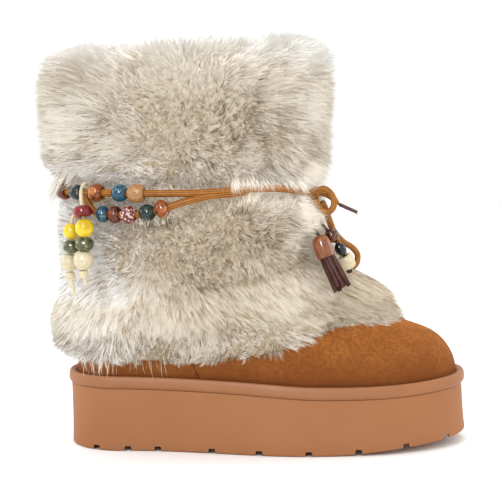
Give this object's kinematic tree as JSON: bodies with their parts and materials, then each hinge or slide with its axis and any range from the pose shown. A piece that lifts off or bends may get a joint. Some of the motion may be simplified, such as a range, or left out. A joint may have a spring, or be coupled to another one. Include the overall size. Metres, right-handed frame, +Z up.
{
  "type": "winter boot",
  "caption": "Ankle-high winter boot with a suede foot, a deep fur sleeve cinched by a beaded cord, a tassel and a thick one-piece platform sole.",
  "frame": {"origin": "on the floor, on the sole's flat underside, under the middle of the shaft", "axes": "+X towards the toe, +Y towards the wearer's left (the boot's inner side), +Z up out of the sole"},
  "size_m": [0.2974, 0.1554, 0.2775],
  "materials": {
    "foam_sole": "matt, finely grained",
    "rolled_welt": "matt, finely grained",
    "suede": "brushed nap",
    "insole_felt": "matt felt",
    "faux_fur": "long soft pile",
    "waxed_cord": "ridged, dull",
    "twine": "twisted, dull",
    "leather": "smooth, semi-gloss",
    "dark_leather": "smooth, semi-gloss",
    "dark_resin": "glossy",
    "amber": "glossy, streaked",
    "caramel": "glossy, translucent",
    "pine": "glossy",
    "teal": "glossy, marbled",
    "russet": "glossy, dotted",
    "ash_wood": "satin grain",
    "ivory_wood": "satin grain",
    "red_resin": "glossy",
    "yellow_resin": "glossy",
    "olive_resin": "glossy"
  },
  "bodies": {
    "root": {"sole": "foam_sole", "welt": "rolled_welt", "upper": "suede", "insole": "insole_felt", "fur_sleeve": "faux_fur", "ankle_cord": "waxed_cord", "wrap_bead_01": "amber", "wrap_bead_02": "pine", "wrap_bead_03": "caramel", "wrap_bead_04": "teal", "wrap_bead_05": "ash_wood", "wrap_bead_06": "teal", "wrap_bead_07": "amber", "wrap_bead_08": "russet", "wrap_bead_09": "pine", "wrap_bead_10": "caramel", "bow_knot": "waxed_cord", "bow_loop_near": "waxed_cord", "bow_loop_far": "waxed_cord", "lace_tip": "dark_resin", "bead_string": "dark_resin", "drop_bead_1": "amber", "drop_bead_2": "pine", "drop_bead_3": "ivory_wood", "tassel_cord": "leather", "tassel_cap": "leather", "tassel_strips": "dark_leather", "charm_cord_front": "twine", "charm_cord_rear": "twine", "charm_bead_1": "red_resin", "charm_bead_2": "yellow_resin", "charm_bead_3": "olive_resin", "charm_bead_4": "ivory_wood", "charm_bead_5": "yellow_resin", "charm_bead_6": "olive_resin", "charm_bead_7": "ivory_wood", "charm_knot_front": "twine", "charm_knot_rear": "twine"}
  },
  "joints": []
}
